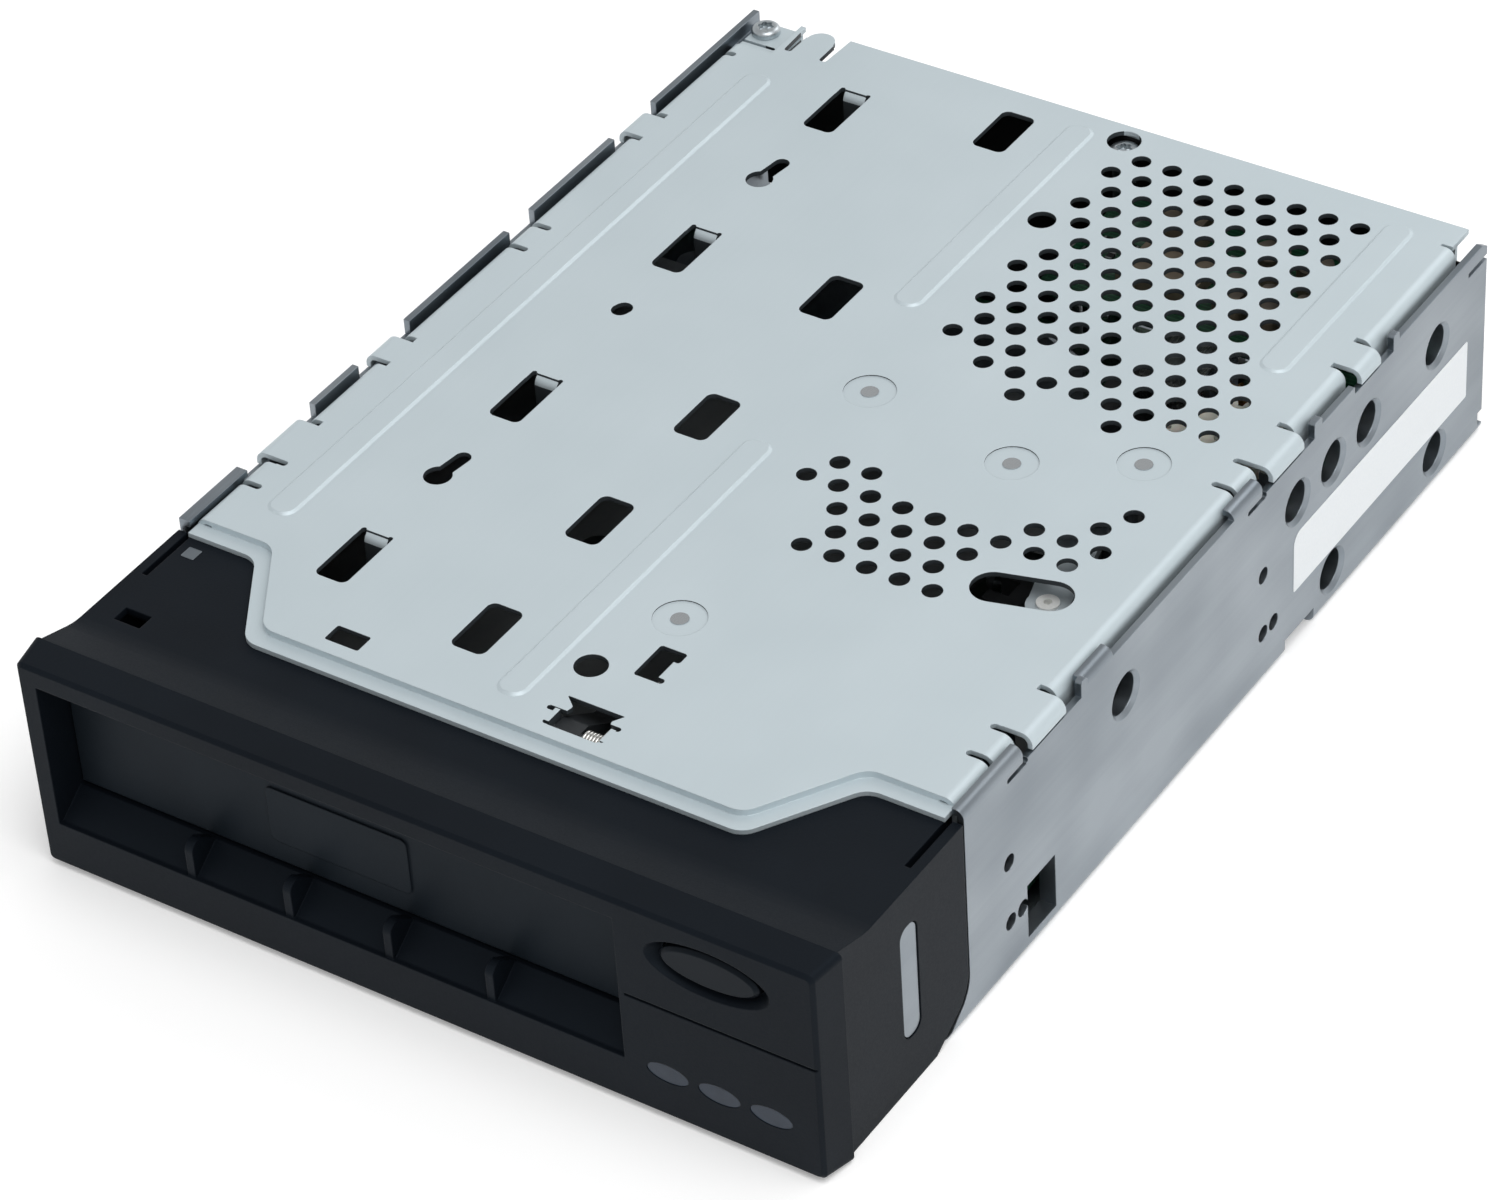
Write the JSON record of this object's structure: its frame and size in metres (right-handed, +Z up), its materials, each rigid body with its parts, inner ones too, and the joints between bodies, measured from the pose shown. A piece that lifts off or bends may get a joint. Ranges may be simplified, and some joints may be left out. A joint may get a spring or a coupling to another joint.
{
  "type": "tape drive",
  "caption": "Half-height data tape drive for a wide drive bay: perforated steel cover over a steel tray, dark bezel with a sprung cartridge door, an oval eject button and status lenses.",
  "frame": {"origin": "centre of the underside of the whole drive, on the plane that it stands on", "axes": "+X to the right seen from the front, +Y from the bezel to the rear, +Z up"},
  "size_m": [0.1482, 0.2104, 0.0416],
  "materials": {
    "zinc_steel": "zinc-plated sheet, satin",
    "cover_steel": "plated sheet, satin",
    "bezel_plastic": "moulded, fine texture",
    "door_plastic": "moulded, fine texture",
    "button_plastic": "moulded, satin",
    "lens_plastic": "polished, smoky",
    "spring_steel": "bright wire",
    "ground_steel": "ground and polished",
    "die_cast": "as cast",
    "board_green": "solder resist",
    "chip_epoxy": "moulded epoxy",
    "capacitor_can": "sleeved can",
    "film_tan": "dipped coating",
    "connector_plastic": "glass-filled",
    "contact_metal": "plated contacts",
    "nylon_white": "moulded nylon",
    "bronze": "sintered bronze",
    "copper_wire": "enamelled wire",
    "tyre_rubber": "ground rubber",
    "ferrite": "lapped",
    "motor_can": "drawn can",
    "ribbon_grey": "flat cable",
    "lamp_epoxy": "clear tinted",
    "screw_steel": "plated"
  },
  "bodies": {
    "chassis": {"chassis_tray": "zinc_steel", "top_cover": "cover_steel", "cover_studs": "ground_steel", "cover_screws": "screw_steel", "cover_post": "screw_steel", "hold_down_pin": "ground_steel", "hold_down_spring": "spring_steel", "front_bezel": "bezel_plastic", "door_hinge_pins": "ground_steel", "door_spring": "spring_steel", "eject_switch": "chip_epoxy", "eject_spring": "spring_steel", "led_light_pipes": "lens_plastic", "status_leds": "lamp_epoxy", "front_board": "board_green", "front_board_screws": "screw_steel", "front_panel_cable": "ribbon_grey", "base_casting": "die_cast", "base_screws": "screw_steel", "left_cartridge_rail": "connector_plastic", "right_cartridge_rails": "connector_plastic", "cartridge_stop": "zinc_steel", "engine_rods": "ground_steel", "pivot_posts": "ground_steel", "load_motor": "motor_can", "motor_bracket": "zinc_steel", "main_board": "board_green", "board_screws": "screw_steel", "board_chips": "chip_epoxy", "board_capacitors": "capacitor_can", "servo_board": "board_green", "servo_board_posts": "screw_steel", "servo_parts": "film_tan", "hd_connector": "connector_plastic", "hd_pins": "contact_metal", "power_connector": "nylon_white", "power_pins": "contact_metal", "address_header": "connector_plastic"},
    "door": {"door_flap": "door_plastic"},
    "hold_down": {"hold_down_arm": "cover_steel"},
    "button": {"eject_button": "button_plastic"},
    "engine": {"engine_plate": "die_cast", "capstan_bushes": "bronze", "capstan_stator": "motor_can", "stator_coils": "copper_wire", "head_stepper": "motor_can", "head_tower": "zinc_steel", "head_guide_rods": "ground_steel", "tape_sensor": "connector_plastic", "drive_fork": "zinc_steel"},
    "capstan": {"capstan_rotor": "motor_can", "capstan_shaft": "ground_steel", "drive_roller": "tyre_rubber"},
    "head": {"head_carriage": "die_cast", "tape_head": "ferrite"},
    "screw": {"lead_screw": "ground_steel"},
    "lever": {"load_lever": "zinc_steel", "lever_rivet": "ground_steel"},
    "wheel": {"load_gear": "nylon_white"},
    "worm": {"load_worm": "bronze"}
  },
  "joints": [
    {"name": "door_hinge", "type": "hinge", "parent": "chassis", "child": "door", "pos_m": [0, -0.0978, 0.0357], "axis": [1, 0, 0], "range_deg": [0, 86], "stiffness_Nm_per_rad": 0.002, "springref_deg": -17.19, "deforming": ["door_spring"]},
    {"name": "hold_down_pivot", "type": "hinge", "parent": "chassis", "child": "hold_down", "pos_m": [0.01, -0.0746, 0.0383], "axis": [1, 0, 0], "range_deg": [0, 6], "stiffness_Nm_per_rad": 0.004, "springref_deg": -22.92, "deforming": ["hold_down_spring"]},
    {"name": "eject_press", "type": "slide", "parent": "chassis", "child": "button", "axis": [0, 1, 0], "range_m": [0, 0.0016], "stiffness_N_per_m": 250, "springref_m": -0.0015, "deforming": ["eject_spring"]},
    {"name": "engine_slide", "type": "slide", "parent": "chassis", "child": "engine", "axis": [-1, 0, 0], "range_m": [0, 0.005]},
    {"name": "lever_swing", "type": "hinge", "parent": "chassis", "child": "lever", "pos_m": [0.046, 0.0288, 0.035], "axis": [0, 0, -1], "range_deg": [0, 7.29]},
    {"name": "wheel_turn", "type": "hinge", "parent": "chassis", "child": "wheel", "pos_m": [0.05852, 0.04089, 0.033], "axis": [0, 0, 1], "range_deg": [0, 28.25]},
    {"name": "worm_turn", "type": "hinge", "parent": "chassis", "child": "worm", "pos_m": [0.058, 0.05364, 0.0347], "axis": [1, 0, 0], "range_deg": [0, 890.11]},
    {"name": "capstan_spin", "type": "hinge", "parent": "engine", "child": "capstan", "pos_m": [0.045, -0.0152, 0.015], "axis": [0, 0, 1], "continuous": true},
    {"name": "head_lift", "type": "slide", "parent": "engine", "child": "head", "axis": [0, 0, 1], "range_m": [0, 0.006]},
    {"name": "lead_screw_turn", "type": "hinge", "parent": "engine", "child": "screw", "pos_m": [0.054, -0.0357, 0.025], "axis": [0, 0, 1], "range_deg": [0, 1442]}
  ],
  "couplings": [
    {"joint": "lever_swing", "follows": "engine_slide", "rad_per_m": 25.272},
    {"joint": "wheel_turn", "follows": "engine_slide", "rad_per_m": 96.877},
    {"joint": "worm_turn", "follows": "engine_slide", "rad_per_m": 3100.1},
    {"joint": "lead_screw_turn", "follows": "head_lift", "rad_per_m": 4188.8}
  ]
}
